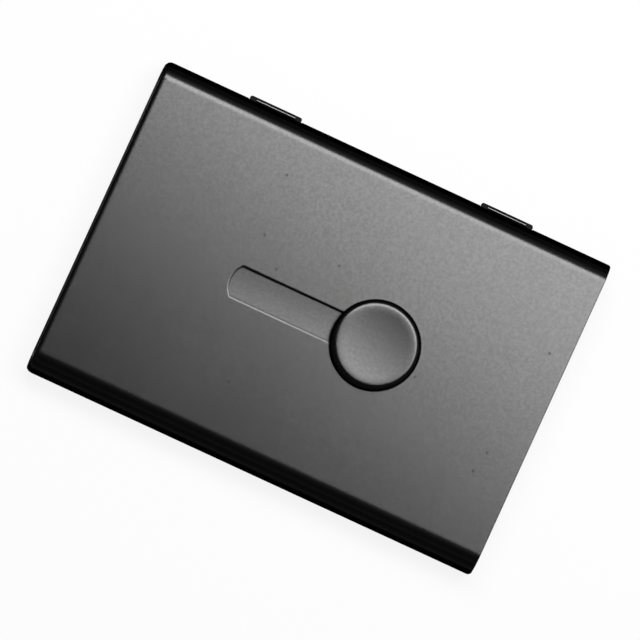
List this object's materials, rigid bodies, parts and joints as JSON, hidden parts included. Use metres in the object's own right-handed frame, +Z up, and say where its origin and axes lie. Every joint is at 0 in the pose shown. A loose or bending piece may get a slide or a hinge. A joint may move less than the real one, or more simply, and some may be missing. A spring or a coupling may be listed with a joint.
{
  "type": "business card case",
  "caption": "Slim hinged aluminium case that holds business cards and slides them out at one end with a dished thumb disc.",
  "frame": {"origin": "centre of the flat back face, which the case rests on", "axes": "+X along the case from the card mouth to the closed end, +Y across it towards the hinge, +Z up out of the front face"},
  "size_m": [0.0936, 0.066, 0.0111],
  "materials": {
    "shell_anodised": "black anodised over a fine sand blast",
    "disc_anodised": "turned, then black anodised over a fine sand blast",
    "slide_anodised": "black anodised sheet",
    "frame_moulding": "fine matt moulding texture",
    "spring_steel": "rolled strip",
    "fastener_steel": "bright drawn and headed",
    "pin_steel": "blackened and drawn bright",
    "glide_nylon": "natural nylon"
  },
  "bodies": {
    "base": {"back_shell": "shell_anodised", "card_tray": "frame_moulding", "leaf_spring_hinge_side": "spring_steel", "leaf_spring_latch_side": "spring_steel", "leaf_rivet_hinge_side_outer": "fastener_steel", "leaf_rivet_hinge_side_inner": "fastener_steel", "leaf_rivet_latch_side_outer": "fastener_steel", "leaf_rivet_latch_side_inner": "fastener_steel"},
    "cover": {"front_shell": "shell_anodised", "cover_liner": "frame_moulding", "hinge_pin_left": "pin_steel", "hinge_pin_right": "pin_steel", "brake_spring_hinge_side": "spring_steel", "brake_spring_latch_side": "spring_steel"},
    "slider": {"push_plate": "slide_anodised", "slide_stem": "slide_anodised", "thumb_disc": "disc_anodised", "disc_glide_ring": "glide_nylon", "slide_screw_left": "fastener_steel", "slide_screw_right": "fastener_steel", "pusher": "slide_anodised", "pusher_rivet_hinge_side": "fastener_steel", "pusher_rivet_latch_side": "fastener_steel"}
  },
  "joints": [
    {"name": "cover_hinge", "type": "hinge", "parent": "base", "child": "cover", "pos_m": [0, 0.0328, 0.0045], "axis": [-1, 0, 0], "range_deg": [0, 180]},
    {"name": "thumb_slide", "type": "slide", "parent": "cover", "child": "slider", "axis": [-1, 0, 0], "range_m": [0, 0.0234]}
  ]
}
